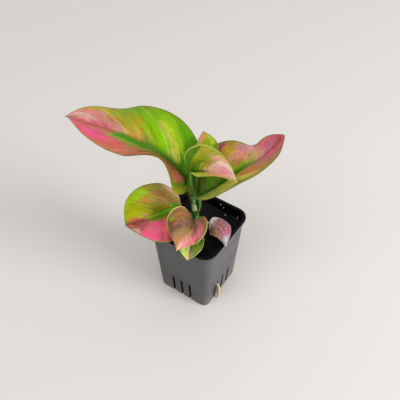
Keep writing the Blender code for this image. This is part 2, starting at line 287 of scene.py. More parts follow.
def times(first, *others):
    for other in others:
        first = sums("MULTIPLY", first, other)
    return first


def ranged(value, low, high, start=0.0, end=1.0):
    # smooth change from start to end as the value goes from low to high
    inputs = {"Value": value, "From Min": low, "From Max": high, "To Min": start, "To Max": end}
    return addNode("MapRange", inputs, interpolation_type="SMOOTHSTEP")[0]


def swing(value, low, high):
    # a grain, most of which lies between 0.3 and 0.7, spread from low to high
    return ranged(value, 0.3, 0.7, low, high)


def blended(share, first, second, kind="MIX"):
    return addNode("Mix", {0: share, 6: first, 7: second}, data_type="RGBA", blend_type=kind)[2]


def layered(base, *layers):
    # each layer is (share, colour) and lies over those before it
    for share, colour in layers:
        base = blended(share, base, colour)
    return base


def ramp(value, stops):
    # stops: colour codes by place
    colours = addNode("ValToRGB", {0: value})[0]
    marks = colours.node.color_ramp.elements
    while len(marks) < len(stops):
        marks.new(1.0)
    for mark, (place, code) in zip(marks, stops.items()):
        mark.position = place
        mark.color = (*colourOf(code), 1)
    return colours


def endFinish(base, rough, height, strength, depth, sockets=None):
    # colour, roughness, a bump depth mm deep, and values that are the same all over
    inputs = canvas["tree"].nodes["Principled BSDF"].inputs
    feed(inputs["Base Color"], base)
    feed(inputs["Roughness"], rough)
    bump = addNode("Bump", {"Strength": strength, "Distance": depth * mm, "Height": height})
    feed(inputs["Normal"], bump["Normal"])
    for name, value in (sockets or {}).items():
        feed(inputs[name], value)
    return canvas["finish"]


# ---- pot

potShape = dict(
    height=86.0, baseHalf=27.1, topHalf=33.4, corner=10.6, cornerSteps=10, footCorner=5.2,
    footEdge=1.0, wall=1.2, floor=1.6, rimOut=1.8, rimDepth=2.8, edge=0.3, sharpAngle=40,
    slitWidth=2.4, slitHeight=25.5, slitLow=-2.0, slitPitch=9.5, slitUnder=3.5, slitReach=8.0,
    slitRound=0.7, plastic=("323134", "3b3a3e"), scuff="5a5a60", dust="6f675e",
    # inside is the near-black painted shade of the hollow, the rim top and the slits
    inside=("030306", "08080d"),
)


def addSlitCutter():
    # one bar, copied to three places on each side
    shape = potShape
    inner, low, high = shape["baseHalf"] - shape["slitUnder"], shape["slitLow"], shape["slitHeight"]
    length = shape["slitUnder"] + shape["slitReach"]
    clearSelection()
    bpy.ops.mesh.primitive_cube_add(size=1)
    bar = bpy.context.object
    bar.scale = Vector((length, shape["slitWidth"], high - low)) * mm
    bpy.ops.object.transform_apply(scale=True)
    bpy.ops.object.mode_set(mode="EDIT")
    pick(bar, "edges", lambda e: all(v.co.z > 0 for v in e.verts)
         and abs(e.verts[0].co.x - e.verts[1].co.x) > mm)
    bpy.ops.mesh.bevel(offset=shape["slitRound"] * mm, segments=4, affect="EDGES")
    bpy.ops.object.mode_set(mode="OBJECT")
    bars = []
    for side in range(4):
        for column in (-1, 0, 1):
            spot = Vector((inner + length / 2, column * shape["slitPitch"], (high + low) / 2)) * mm
            turn = Matrix.Rotation(side * pi / 2, 4, "Z")
            bars.append(addCopy(bar, "slitBar", turn @ Matrix.Translation(spot)))
    bpy.data.objects.remove(bar)
    return joinAll(bars)


def roundCorners(pot, test, half, corner, newCorner):
    # points of a rounded square take a new corner radius
    mesh = bmesh.from_edit_mesh(pot.data)
    for vert in mesh.verts:
        if test(vert):
            for axis in (0, 1):
                side = copysign(1, vert.co[axis])
                part = (vert.co[axis] * side - half + corner) / corner
                vert.co[axis] = side * (half - newCorner + part * newCorner)
    bmesh.update_edit_mesh(pot.data)


def addPot():
    # the lengths, which are all floats, in metres
    size = {name: value * mm for name, value in potShape.items() if isinstance(value, float)}
    height, half, base, wall = size["height"], size["topHalf"], size["baseHalf"], size["wall"]
    corner, footCorner = size["corner"], size["footCorner"]
    clearSelection()
    bpy.ops.mesh.primitive_cube_add(size=1, location=(0, 0, height / 2))
    pot = bpy.context.object
    pot.name = "nurseryPot"
    pot.scale = (2 * half, 2 * half, height)
    bpy.ops.object.transform_apply(location=True, scale=True)
    bpy.ops.object.mode_set(mode="EDIT")
    pick(pot, "edges", lambda e: abs(e.verts[0].co.z - e.verts[1].co.z) > height / 2)
    bpy.ops.mesh.bevel(offset=corner, segments=potShape["cornerSteps"], affect="EDGES")
    # the taper, with tighter corners at the foot and a rounded foot edge
    pick(pot, "verts", lambda v: v.co.z < mm)
    taper = base / half
    bpy.ops.transform.resize(value=(taper, taper, 1))
    roundCorners(pot, lambda v: v.co.z < mm, base, corner * taper, footCorner)
    pick(pot, "edges", lambda e: all(v.co.z < mm for v in e.verts))
    bpy.ops.mesh.bevel(offset=size["footEdge"], segments=3, affect="EDGES")
    # the turned-out rim
    lip = height - size["rimDepth"]
    bpy.ops.mesh.select_all(action="SELECT")
    bpy.ops.mesh.bisect(plane_co=(0, 0, lip), plane_no=(0, 0, 1))
    pick(pot, "faces", lambda f: f.calc_center_median().z > lip and abs(f.normal.z) < 0.5)
    bpy.ops.mesh.extrude_region_shrink_fatten(
        TRANSFORM_OT_shrink_fatten={"value": size["rimOut"]})
    # the hollow
    pick(pot, "faces", lambda f: f.normal.z > 0.9 and f.calc_center_median().z > height - mm
         and f.calc_area() > half * half)
    bpy.ops.mesh.inset(thickness=wall)
    bpy.ops.mesh.extrude_region_move(
        TRANSFORM_OT_translate={"value": (0, 0, size["floor"] - height)})
    room = (base - wall) / (half - wall)
    bpy.ops.transform.resize(value=(room, room, 1))
    roundCorners(pot, lambda v: v.select, base - wall, (corner - wall) * room, footCorner - wall)
    bpy.ops.object.mode_set(mode="OBJECT")
    cutter = addSlitCutter()
    cut = pot.modifiers.new("slits", "BOOLEAN")
    cut.operation, cut.solver, cut.object = "DIFFERENCE", "EXACT", cutter
    applyAll(pot)
    bpy.data.objects.remove(cutter)
    soften = pot.modifiers.new("softEdges", "BEVEL")
    soften.width, soften.segments, soften.limit_method = size["edge"], 3, "ANGLE"
    soften.angle_limit = radians(potShape["sharpAngle"])
    applyAll(pot)
    return pot


def potHalf(height):
    return mix(potShape["baseHalf"], potShape["topHalf"], height / potShape["height"])


def paintShadeInside(pot):
    # the inner wall, the top of the rim and the slits take the second, darker finish, which is
    # painted shade
    shape = potShape
    for face in pot.data.polygons:
        middle, normal = face.center / mm, face.normal
        across = 0 if abs(middle.x) > abs(middle.y) else 1
        wide, aside = abs(middle[across]), abs(middle[1 - across])
        # the side walls of the slits take the painted shade too
        inSlit = (middle.z < shape["slitHeight"] + 0.5 and abs(normal[across]) < 0.5
                  and abs(normal.z) < 0.9 and aside < shape["slitPitch"] + 2)
        high = max(pot.data.vertices[place].co.z for place in face.vertices) / mm
        facesIn = normal.x * middle.x + normal.y * middle.y < 0
        inner = facesIn and wide < potHalf(middle.z) - 0.5 and high > shape["slitHeight"] + 4.5
        if inner or inSlit or middle.z > shape["height"] - 0.25:
            face.material_index = 1


def potShadeFinish():
    # near-black plastic with faint blotches, painted shade for the hollow, the rim top and the
    # slits
    startFinish("potInside")
    cloud = grain(objectSpot(), 160, 4)
    return endFinish(blended(ranged(cloud, 0.4, 0.7), *potShape["inside"]),
                     swing(cloud, 0.35, 0.6), cloud, 0.3, 0.1, {"Specular IOR Level": 0.1})


def potFinish():
    # satin polypropylene with fine scuffs and a dusty foot
    startFinish("potPlastic")
    spot = objectSpot()
    cloud, fine = grain(spot, 55, 4), grain(spot, 900)
    scuff = grain(placed(spot, grow=(900, 900, 70)), 1.0, 4, 0.7)
    foot = ranged(splitUp(spot)["Z"], 0.022, 0.0)
    base = layered(blended(cloud, *potShape["plastic"]),
                   (ranged(scuff, 0.6, 0.72, 0, 0.3), potShape["scuff"]),
                   (times(foot, ranged(fine, 0.42, 0.62), 0.5), potShape["dust"]))
    return endFinish(base, swing(cloud, 0.36, 0.5), blended(0.5, fine, scuff), 0.25, 0.06)


pot = addPot()
finishPiece(pot, "pot", [potFinish(), potShadeFinish()], potShape["sharpAngle"])
paintShadeInside(pot)
print("pot is made")


# ---- soil

soilShape = dict(
    top=77.0, low=1.9, room=1.5, lump=1.1, lumpSize=9.0,
    grains=((1.0, 2.6, (3, 7, 1), 0.25), (0.55, 1.1, (9, 2, 5), 0.15)),  # rise, size, seed, drop
    grid=(110, 240), corners=(9.1, 8.0, 7.0),  # top, wall, floor
    topShare=0.86, wallShare=0.985, edgeDrop=0.3,
    crumbs=520, crumbArea=30, crumbSize=(0.35, 0.95), crumbMargin=1.2,
    crumbCorner=9.0, squash=((0.7, 1.3), (0.7, 1.3), (0.6, 1.0)), dent=(0.35, 1.7),
    stems=((0.0, 0.0, 4.6), (5.5, 2.5, 3.0)),  # kept clear of crumbs: place, radius
    perlite=((4.6, 31.4, 83.2), (7.6, 31.2, 80.6), (12.5, 27.0, 77.6), (-9.0, -21.0, 77.6)),
    perliteSize=(0.45, 0.7), bark=((24.2, 30.0, 78.0), (12.0, -9.0, 77.5)),
    colours={  # dark, light, fleck
        "darkPeat": ("060507", "121013", "2a241f"), "peatCrumbs": ("080708", "1a1719", "3a3029"),
        "perlite": ("b9b4b0", "e6e2dd"), "paleBark": ("6b5557", "9a8384"),
    },
)


def innerHalf(height):
    return potHalf(height) - soilShape["room"]


def squareEdge(angle, half, corner):
    # the point of a round-cornered square in a direction
    ahead = Vector((cos(angle), sin(angle)))
    point = ahead * (half / max(abs(ahead.x), abs(ahead.y)))
    flat = half - corner
    if abs(point.x) > flat and abs(point.y) > flat:
        middle = Vector((copysign(flat, ahead.x), copysign(flat, ahead.y)))
        along = middle.dot(ahead)
        rest = along ** 2 - middle.length_squared + corner ** 2
        point = ahead * (along + sqrt(max(rest, 0)))
    return point


def soilHeight(x, y):
    # crumbs of two sizes over the broad lumps of the solid
    spot = Vector((x, y, 0.0))
    height = soilShape["lump"] * noise.noise(spot / soilShape["lumpSize"])
    for rise, size, seed, drop in soilShape["grains"]:
        height += rise * abs(noise.noise(spot / size + Vector(seed))) - drop
    return height


def soilSpot(u, v):
    # lumpy top from the middle out, then the side wall, then the floor
    shape = soilShape
    angle, top, low = 2 * pi * v, shape["top"], shape["low"]
    topShare, wallShare = shape["topShare"], shape["wallShare"]
    if u < topShare:
        share = (u / topShare) ** 0.8
        edge = squareEdge(angle, innerHalf(top) - shape["edgeDrop"], shape["corners"][0]) * share
        calm = 1 - step(0.93, 1.0, share)
        return (edge.x, edge.y, top + soilHeight(edge.x, edge.y) * calm)
    if u < wallShare:
        height = mix(top - shape["edgeDrop"], low, (u - topShare) / (wallShare - topShare))
        edge = squareEdge(angle, innerHalf(height), shape["corners"][1])
        return (edge.x, edge.y, height)
    share = 1 - (u - wallShare) / (1 - wallShare)
    edge = squareEdge(angle, innerHalf(low), shape["corners"][2]) * share
    return (edge.x, edge.y, low)


def addCrumb(ball, spot, size):
    # a lump with its own mesh: a small ball, squashed and dented by noise
    turn = Matrix.Rotation(random.uniform(0, 6.28), 4, Vector(random.uniform(-1, 1) for _ in "xyz"))
    stretch = Matrix.Diagonal([random.uniform(*span) for span in soilShape["squash"]] + [1])
    crumb = addCopy(ball, "crumb")
    depth, fineness = soilShape["dent"]
    for point in crumb.data.vertices:
        point.co *= 1 + depth * noise.noise(point.co * fineness + Vector(spot))
    place = Matrix.Translation(Vector(spot) * mm)
    crumb.data.transform(place @ turn @ stretch @ Matrix.Scale(size * mm, 4))
    return crumb


def addBall(levels):
    clearSelection()
    bpy.ops.mesh.primitive_ico_sphere_add(subdivisions=levels, radius=1)
    return bpy.context.object


def soilFinish(name, rough=0.95):
    startFinish(name)
    dark, light, *flecks = soilShape["colours"][name]
    spot = objectSpot()
    coarse, fine = grain(spot, 420, 4), grain(spot, 1900)
    base = blended(ranged(coarse, 0.35, 0.68), dark, light)
    for fleck in flecks:
        base = blended(ranged(fine, 0.66, 0.74, 0, 0.6), base, fleck)
    return endFinish(base, rough, blended(0.4, coarse, fine), 0.7, 0.35,
                     {"Specular IOR Level": 0.3})


def addHeap(name, lumps, degrees, finish):
    heap = joinAll(lumps)
    heap.name = name
    finishPiece(heap, "soil", [finish], degrees, replaced=False)


def scatterCrumbs(ball):
    # small lumps over the soil, away from the wall and from what grows out of it
    shape = soilShape
    area, top, crumbs = shape["crumbArea"], shape["top"], []
    while len(crumbs) < shape["crumbs"]:
        x, y = random.uniform(-area, area), random.uniform(-area, area)
        edge = squareEdge(atan2(y, x), innerHalf(top) - shape["crumbMargin"],
                          shape["crumbCorner"])
        clear = all(hypot(x - a, y - b) > radius for a, b, radius in shape["stems"])
        if hypot(x, y) < edge.length and clear:
            size = random.uniform(*shape["crumbSize"])
            crumbs.append(addCrumb(ball, (x, y, top + soilHeight(x, y) + size * 0.2), size))
    return crumbs


soilBed = layGrid("soilBed", *soilShape["grid"], soilSpot)
weld(soilBed, 0.01, True)
finishPiece(soilBed, "soil", [soilFinish("darkPeat")])

plainBall, fineBall = addBall(1), addBall(2)
addHeap("soilCrumbs", scatterCrumbs(plainBall), 50, soilFinish("peatCrumbs"))
addHeap("perliteGrains", [addCrumb(fineBall, spot, random.uniform(*soilShape["perliteSize"]))
                          for spot in soilShape["perlite"]], 40,
        soilFinish("perlite", 0.85))
addHeap("barkBits", [addCrumb(fineBall, spot, 1.0) for spot in soilShape["bark"]], 40,
        soilFinish("paleBark", 0.8))
bpy.data.objects.remove(plainBall)
bpy.data.objects.remove(fineBall)
print("soil is made")


# ---- tubes: stem, root and leaf stalks

def alongKeys(keys, share):
    # smooth value at a share of the way through evenly spaced keys
    place = min(max(share, 0.0), 1.0) * (len(keys) - 1)
    index = min(int(place), len(keys) - 2)
    part = place - index
    here, there = keys[index], keys[index + 1]
    before = keys[index - 1] if index > 0 else 2 * here - there
    after = keys[index + 2] if index + 2 < len(keys) else 2 * there - here
    slope = (there - before) * part
    bend = (2 * before - 5 * here + 4 * there - after) * part ** 2
    twist = (3 * here - before - 3 * there + after) * part ** 3
    return 0.5 * (2 * here + slope + bend + twist)


def routeAt(points, share):
    return Vector([alongKeys(column, share) for column in zip(*points)])


def layTube(name, points, section, upper, rows, around):
    # a grid rolled along the points; section(share, angle) is its radius in mm, or two of
    # them, sideways and up, with the angle measured from the upper side
    def spot(u, v):
        here, before, after = (routeAt(points, share)
                               for share in (u, max(u - 0.004, 0), min(u + 0.004, 1)))
        ahead = (after - before).normalized()
        up = upper(u) if callable(upper) else upper
        up = (up - ahead * up.dot(ahead)).normalized()
        side = ahead.cross(up)
        angle = 2 * pi * (v - 0.5)
        radius = section(u, angle)
        wide, high = radius if isinstance(radius, tuple) else (radius, radius)
        return here + side * (sin(angle) * wide) + up * (cos(angle) * high)

    tube = layGrid(name, rows, around, spot)
    weld(tube, 0.002, True)
    return tube


stemShape = dict(
    foot=(0.0, 0.0, 60.0), top=(-3.8, -2.6, 128.0), footRadius=3.4, topRadius=2.5,
    rings=7, ringRise=0.28, ringWidth=0.06, flutes=7, flute=0.12,
    upper=(0, 1, 0), grid=(168, 40), skin=("1c3e10", "44702c", "6c8450"), pores="c9cfa0",
)
roots = {}  # rough is how far the skin swells, over which size and turned to which side
roots["paleRoot"] = dict(
    route=((0, 0, 57), (3, -1.5, 47), (10, -5, 36), (19, -8.3, 28), (25, -9.3, 24),
           (28.2, -9.5, 21.8), (30.2, -9.4, 18.4), (30.9, -9.3, 12.5), (30.7, -9.5, 6),
           (30.2, -9.8, 0.7)),
    radii=(1.3, 1.3, 1.2, 1, 0.75, 0.75, 1, 1.3, 1.25, 0.85), rough=(0.16, 1.6, (0, 0, 1)),
    upper=(0, 1, 0.3), grid=(180, 18), skin=("rootSkin", "8a7c50", "b8aa7c", "6c5630", "4b3420")
)
roots["dryRoot"] = dict(
    route=((27, -9.9, 20.5), (28.8, -11.2, 19), (29.5, -13.4, 14.8), (29.3, -14.2, 9.5),
           (29.4, -13, 4.5), (29.8, -11.4, 0.9)),
    radii=(0.4, 0.7, 0.95, 0.9, 0.65, 0.3), rough=(0.35, 1.1, (1, 0, 0)), upper=(0, 1, 0.3),
    grid=(90, 14), skin=("dryRootSkin", "4e3826", "806248", "2e1e14", "4b3420")
)


def stemShare(height):
    low, high = stemShape["foot"][2], stemShape["top"][2]
    return (height - low) / (high - low)


def stemAt(height):
    return Vector(stemShape["foot"]).lerp(Vector(stemShape["top"]), stemShare(height))


def stemRadius(share):
    return mix(stemShape["footRadius"], stemShape["topRadius"], share)


def stemSection(u, angle):
    # rings of old leaf scars, each a little lip over a groove, and faint flutes
    width = stemShape["ringWidth"]
    place = u * stemShape["rings"]
    ring = place - round(place)
    lip = bell(ring, width) - 0.7 * bell(ring - 2 * width, width)
    ends = min(1.0, 0.55 + 6 * min(u, 1 - u)) if u < 0.08 or u > 0.93 else 1.0
    flute = stemShape["flute"] * sin(stemShape["flutes"] * angle + 3 * u)
    return stemRadius(u) * ends + stemShape["ringRise"] * lip + flute


def addRoot(name, shape):
    def section(u, angle):
        swell, size, side = shape["rough"]
        rough = noise.noise(routeAt(shape["route"], u) / size + Vector(side) * angle)
        return alongKeys(shape["radii"], u) * (1 + swell * rough)

    return layTube(name, shape["route"], section, Vector(shape["upper"]), *shape["grid"])


def stalkFinish(name, deep, light, blush=None):
    # green skin with fine lengthwise stripes and pale breathing spots
    startFinish(name)
    spot = objectSpot()
    stripes = grain(placed(uvSpot(), grow=(3, 22, 1)), 1.0)
    cloud, fine = grain(spot, 180), grain(spot, 1500)
    base = layered(blended(ranged(stripes, 0.35, 0.65), deep, light),
                   (ranged(cloud, 0.5, 0.7, 0, 0.5), blush or deep),
                   (ranged(fine, 0.68, 0.76, 0, 0.35), stemShape["pores"]))
    return endFinish(base, swing(cloud, 0.34, 0.5), blended(0.4, stripes, fine), 0.3, 0.12,
                     {"Specular IOR Level": 0.3})


def rootFinish(name, dark, light, stain, buried):
    # banded skin, brown over the part in the soil
    startFinish(name)
    flat = uvSpot()
    bands, fine = grain(placed(flat, grow=(60, 3, 1)), 1.0, 4), grain(objectSpot(), 1300)
    base = layered(blended(bands, dark, light), (ranged(fine, 0.55, 0.7, 0, 0.5), stain),
                   (ranged(splitUp(flat)["X"], 0.62, 0.52), buried))
    return endFinish(base, 0.7, blended(0.5, bands, fine), 0.5, 0.15)


stem = layTube("ringedStem", (stemShape["foot"], stemShape["top"]), stemSection,
               Vector(stemShape["upper"]), *stemShape["grid"])
finishPiece(stem, "stem", [stalkFinish("stemSkin", *stemShape["skin"])])

for name, shape in roots.items():
    finishPiece(addRoot(name, shape), "root", [rootFinish(*shape["skin"])],
                replaced=name == "paleRoot")


# ---- dry sheath

sheathShape = dict(
    low=104.0, high=114.0, start=-102.0, end=-22.0, thickness=0.12,
    standOff=0.75, flare=1.3, tear=2.6, smallTear=0.9, crinkle=0.35,
    grid=(40, 48), paper=("5c6838", "a8b084"), stain="4c5828",
)


def sheathSpot(u, v):
    # a torn papery scrap that stands off the stem as it rises
    shape = sheathShape
    tear = (shape["tear"] * noise.noise(Vector((v * 6, 2, 0)))
            + shape["smallTear"] * noise.noise(Vector((v * 21, 5, 0))))
    height = mix(shape["low"], shape["high"], u) + tear * step(0.4, 1, u)
    taper = 1 - 0.55 * u * u + 0.25 * noise.noise(Vector((u * 5, 7, round(v))))
    angle = radians(mix(shape["start"], shape["end"], 0.5 + (v - 0.5) * taper))
    crinkle = shape["crinkle"] * noise.noise(Vector((u * 2, v * 9, 1)))
    radius = stemRadius(stemShare(height)) + shape["standOff"] + shape["flare"] * u * u + crinkle
    middle = stemAt(height)
    return (middle.x + radius * cos(angle), middle.y + radius * sin(angle), height)


def sheathFinish():
    # dry paper with long fibres
    startFinish("dryPaper")
    fibres, cloud = grain(placed(uvSpot(), grow=(3, 26, 1)), 1.0, 4), grain(objectSpot(), 500)
    base = layered(blended(ranged(fibres, 0.35, 0.65), *sheathShape["paper"]),
                   (ranged(cloud, 0.5, 0.7, 0, 0.6), sheathShape["stain"]))
    return endFinish(base, 0.8, fibres, 0.6, 0.15)


sheath = layGrid("drySheath", *sheathShape["grid"], sheathSpot)
wall = sheath.modifiers.new("wall", "SOLIDIFY")
wall.thickness = sheathShape["thickness"] * mm
wall.offset = 1
applyAll(sheath)
weld(sheath, 0.002, True)
finishPiece(sheath, "dry_sheath", [sheathFinish()])
print("stem, root and sheath are made")


# ---- leaves

# Lengths are in mm and angles in degrees. A row of several values is spread evenly from
# the base of a blade to its tip. heading turns the midrib about Z from +X, pitch lifts it
# and roll lifts its left half. rise is how far each half (left, right) stands above that,
# and curl bends a half across. blunt and keen shape the outline at the base and the tip,
# lobe draws each half back past the base and sweep draws the edge forwards. The stalk
# leaves the stem at the height foot, petiole is its radius and clasp widens its foot.
# left and right are the colours of each half from the base (0) to the tip (1). A patch is
# (place along, place across: 1 left edge, -1 right edge, half length, half width, colour,
# strength). A stroke is (place along, side, colour, strength) and follows a side vein. rib
# is the midrib's colours, ribShade the strength of the painted shade beside it, edge the
# margin's colour, line its thin rim, and splash and fleck the irregular blots and dots.

plainLeaf = dict(  # where a leaf says nothing else
    roll=(0, 0), curl=(0, 0), clasp=1, crumple=0, lean=(0.3, 0.3), grid=(100, 52), veinShow=0.1,
    strokes=()
)
leaves = {}
leaves["leaf_upper_left"] = dict(
    name="upperLeftLeaf", base=(-8.7, -1.1, 135), length=121.5, width=(33, 44),
    heading=(189, 198, 191), pitch=(49, 23, 12, 0), roll=(9, 10, 12),
    rise=((-22, 31, 11, 15, 43), (55, 41, 22, 5, 25)), curl=(0, -14), blunt=0.74, keen=0.95,
    lobe=(14.6, 4.3), sweep=0.12, foot=114, bow=(-2.5, -0.5), petiole=1.9, clasp=1.3,
    grid=(132, 68), veins=10, lean=(0.16, 0.28), quilt=0.34, ruffle=0.7,
    # the browns at 0.13 and 0.24 on the left half are partly its own reddish-brown, partly painted
    # shade on the hanging basal lobe
    left={0: "2f5c08", 0.06: "5c5408", 0.13: "7c4028", 0.24: "804c28", 0.36: "b45c44",
          0.48: "c04848", 0.62: "c8446a", 0.78: "c24c60", 0.92: "bc6c68", 1: "6e4830"},
    right={0: "3c7c0c", 0.05: "78a40c", 0.12: "a0b418", 0.2: "7ca804", 0.28: "78a404",
           0.36: "88a004", 0.45: "989c08", 0.515: "a8981c", 0.54: "b8806c", 0.66: "b86c68",
           0.9: "b87c74", 1: "5c4020"},
    patches=(
        (0.08, -0.1, 0.08, 0.22, "347808", 0.9), (0.225, -0.3, 0.05, 0.4, "bca454", 0.65),
        (0.33, -0.35, 0.09, 0.6, "70a800", 0.8), (0.47, -0.18, 0.1, 0.26, "bc8444", 0.85),
        (0.5, -0.58, 0.06, 0.2, "b47c20", 0.7), (0.4, -0.9, 0.16, 0.2, "70a404", 0.8),
        (0.18, -0.85, 0.06, 0.3, "5c9800", 0.7), (0.57, -0.76, 0.08, 0.22, "84a000", 0.8),
        (0.62, -0.44, 0.05, 0.16, "ac6c28", 0.7), (0.52, -0.36, 0.08, 0.12, "90a000", 0.6),
        (0.8, -0.94, 0.2, 0.14, "948420", 0.85), (0.79, -0.1, 0.16, 0.2, "bc5464", 0.85),
        # the pale pink patch at 0.88, -0.5 is partly the leaf's own pinkish white, partly a painted
        # sheen
        (0.88, -0.5, 0.08, 0.3, "d0a0a0", 0.6), (0.65, 0.62, 0.08, 0.26, "d44080", 0.75),
        (0.54, 0.1, 0.13, 0.18, "64980c", 0.95), (0.38, 0.12, 0.09, 0.3, "608428", 0.85),
        # the brown patch at 0.15, 0.5 is partly its own colour, partly painted shade on the hanging
        # basal lobe
        (0.42, 0.8, 0.14, 0.24, "c06850", 0.7), (0.15, 0.5, 0.06, 0.36, "945040", 0.7),
        (0.08, 0.86, 0.07, 0.22, "646408", 0.95),
    ),
    rib={0: "24580c", 0.2: "2c6410", 0.3: "40701c", 0.42: "347408", 0.6: "3c7c18", 0.68: "b06448",
         1: "a05c40"},
    strokes=((0.52, -1, "d0bc88", 0.4), (0.2, -1, "bcd058", 0.25)),
    splash=("987410", "6c9410"), fleck="b8bc44", veinShow=0.12, ribShade=0.7, edge="787c14",
    line="3a480c", stalk=("142c08", "2c5014")
)
leaves["leaf_right"] = dict(
    name="rightLeaf", base=(1.4, -1.5, 121.3), length=92, width=(32.5, 25), heading=(45, 39, 76),
    pitch=(22, 46, 32, 42), roll=(6, -3, -15), rise=((30, 43, -14, 6), (38, 23, 15, 21)),
    blunt=0.64, keen=0.81, lobe=(8, 8.1), sweep=0.08, foot=97, bow=(1.8, 0.8), petiole=1.9,
    grid=(120, 60), veins=11, lean=(0.12, 0.3), quilt=0.3, ruffle=0.6,
    # the dark greens at 0 and 0.08 on the left half are partly its own colour, partly painted shade
    # under the young leaf
    left={0: "245c04", 0.08: "3c6c08", 0.16: "5c9008", 0.3: "6c980c", 0.4: "c49c34", 0.48: "dc8c78",
          0.6: "d4a484", 0.7: "d49480", 0.79: "c4606c", 0.88: "bc5060", 0.95: "bc6060",
          1: "c88c80"},
    right={0: "78982c", 0.08: "a4b048", 0.2: "c4c850", 0.33: "ccbc48", 0.42: "b49444",
           0.52: "b07c48", 0.6: "ac7054", 0.7: "b45c68", 0.8: "a44c58", 1: "cc8c80"},
    patches=(
        # the brown patch at 0.11, 0.5 is partly its own colour, partly painted shade under the
        # young leaf
        (0.11, 0.5, 0.045, 0.26, "785c18", 0.5), (0.37, 0.84, 0.045, 0.14, "b0406c", 1),
        (0.43, 0.78, 0.06, 0.28, "c89c30", 0.85), (0.48, 0.5, 0.07, 0.26, "e09080", 0.85),
        (0.46, 0.1, 0.09, 0.2, "88b410", 0.95), (0.47, 0.27, 0.05, 0.1, "c47040", 0.65),
        (0.57, 0.86, 0.1, 0.24, "dc989c", 0.9), (0.6, 0.34, 0.07, 0.28, "c8a858", 0.85),
        (0.57, 0.1, 0.09, 0.18, "7ca80c", 0.9), (0.74, 0.78, 0.06, 0.2, "d85478", 0.85),
        (0.79, 0.6, 0.06, 0.22, "d45478", 0.9), (0.84, 0.42, 0.05, 0.2, "c85c90", 0.85),
        (0.7, 0.95, 0.1, 0.12, "b04c48", 0.8), (0.58, -0.52, 0.07, 0.26, "bc602c", 0.8),
        (0.52, -0.94, 0.25, 0.18, "748410", 0.85), (0.84, -0.35, 0.07, 0.36, "d84478", 0.95),
        (0.8, -0.92, 0.14, 0.18, "987040", 0.8), (0.2, -0.75, 0.2, 0.3, "c0c464", 0.6),
        # the thin crimson line at 0.94 is a painted shadow of a fold near the tip
        (0.94, 0.15, 0.02, 0.4, "a03040", 0.85),
    ),
    rib={0: "245808", 0.3: "346404", 0.45: "347404", 0.62: "548410", 0.72: "ac5448", 0.9: "841828",
         1: "a86058"},
    strokes=((0.14, -1, "c4c480", 0.45), (0.3, -1, "ccbc80", 0.35)),
    splash=("948c34", "b06450"), fleck="c8bc78", veinShow=0.12, ribShade=0.6, edge="7c741c",
    line="54441a", stalk=("1a3408", "40601c")
)
leaves["leaf_young"] = dict(
    name="youngLeaf", base=(-5.7, -4, 149), length=53, width=(29.3, 17), heading=(27, -8, -33),
    pitch=(13, 22, 21), roll=(13, 12), rise=((77, 83, 73), (44, 36, 48)), blunt=0.61, keen=1.02,
    lobe=(5.5, -1.5), sweep=0.04, foot=124, bow=(-0.9, -1.2), petiole=1.5, clasp=1.75, veins=9,
    lean=(0.55, 0.3), quilt=0.16, ruffle=0.2,
    left={0: "4c8008", 0.06: "4c8804", 0.14: "90ac0c", 0.22: "b4b828", 0.3: "d0ac70",
          0.38: "ffd8c8", 0.6: "ffdcd4", 0.85: "f0dcbc", 1: "c8bc50"},
    right={0: "98b028", 0.1: "c4d048", 0.28: "d4cc48", 0.42: "e4b870", 0.6: "ecc09c", 0.8: "dcc87c",
           1: "bcb44c"},
    patches=(
        (0.12, 0.36, 0.07, 0.18, "80700c", 0.5), (0.14, 0.62, 0.09, 0.26, "3c8408", 0.75),
        (0.35, 0.7, 0.14, 0.32, "a8b408", 0.9), (0.48, 0.88, 0.14, 0.24, "b0a830", 0.8),
        (0.44, 0.1, 0.2, 0.17, "ffd8c8", 0.95), (0.38, 0.36, 0.12, 0.1, "a89448", 0.6),
        (0.64, 0.3, 0.2, 0.36, "ffd0cc", 0.95), (0.76, 0.38, 0.12, 0.34, "ffb0c8", 0.95),
        (0.64, 0.68, 0.12, 0.2, "f4b09c", 0.85), (0.88, 0.8, 0.1, 0.34, "f4e8cc", 0.85),
        (0.16, -0.8, 0.18, 0.4, "e4ec58", 0.95), (0.08, -0.12, 0.1, 0.18, "549008", 0.8),
    ),
    rib={0: "306c00", 0.2: "4c8010", 0.35: "ecc0a8", 0.7: "ffd0c4", 1: "c8bc50"},
    splash=("d4bc60", "fcd0b4"), fleck="f4ccb4", ribShade=0, edge="ccc864", line="98a83c",
    stalk=("24500c", "5c7c20")
)
leaves["leaf_back"] = dict(
    name="backLeaf", base=(-3.6, 5.2, 143.5), length=36, width=(9, 16.5), heading=(106, 124),
    pitch=(46, 18), rise=((62, 48), (28, 19)), blunt=0.59, keen=1.01, lobe=(3, 3), sweep=0.05,
    foot=120, bow=(-0.6, 0.6), petiole=1.1, clasp=1.7, grid=(80, 40), veins=7, quilt=0.18,
    ruffle=0.2,
    left={0: "5c7c18", 0.5: "788c24", 0.7: "bc7860", 0.85: "c87478", 1: "b48074"},
    right={0: "3c6c00", 0.5: "78a000", 0.75: "98b800", 0.9: "acac4c", 1: "a4884c"},
    patches=(
        (0.8, 0.75, 0.12, 0.3, "c46484", 0.9), (0.8, 0.3, 0.08, 0.2, "cc7c40", 0.8),
        (0.84, -0.05, 0.12, 0.24, "d8a450", 0.9), (0.7, -0.75, 0.12, 0.3, "b0cc20", 0.9),
        (0.87, -0.7, 0.07, 0.3, "c4c05c", 0.8),
    ),
    rib={0: "488010", 0.6: "a0b030", 0.85: "ccac44", 1: "b49450"},
    splash=("a8943c", "8ca020"), fleck="d4d07c", ribShade=0.3, edge="a88c50", line="505414",
    stalk=("2c680c", "5c8c24")
)
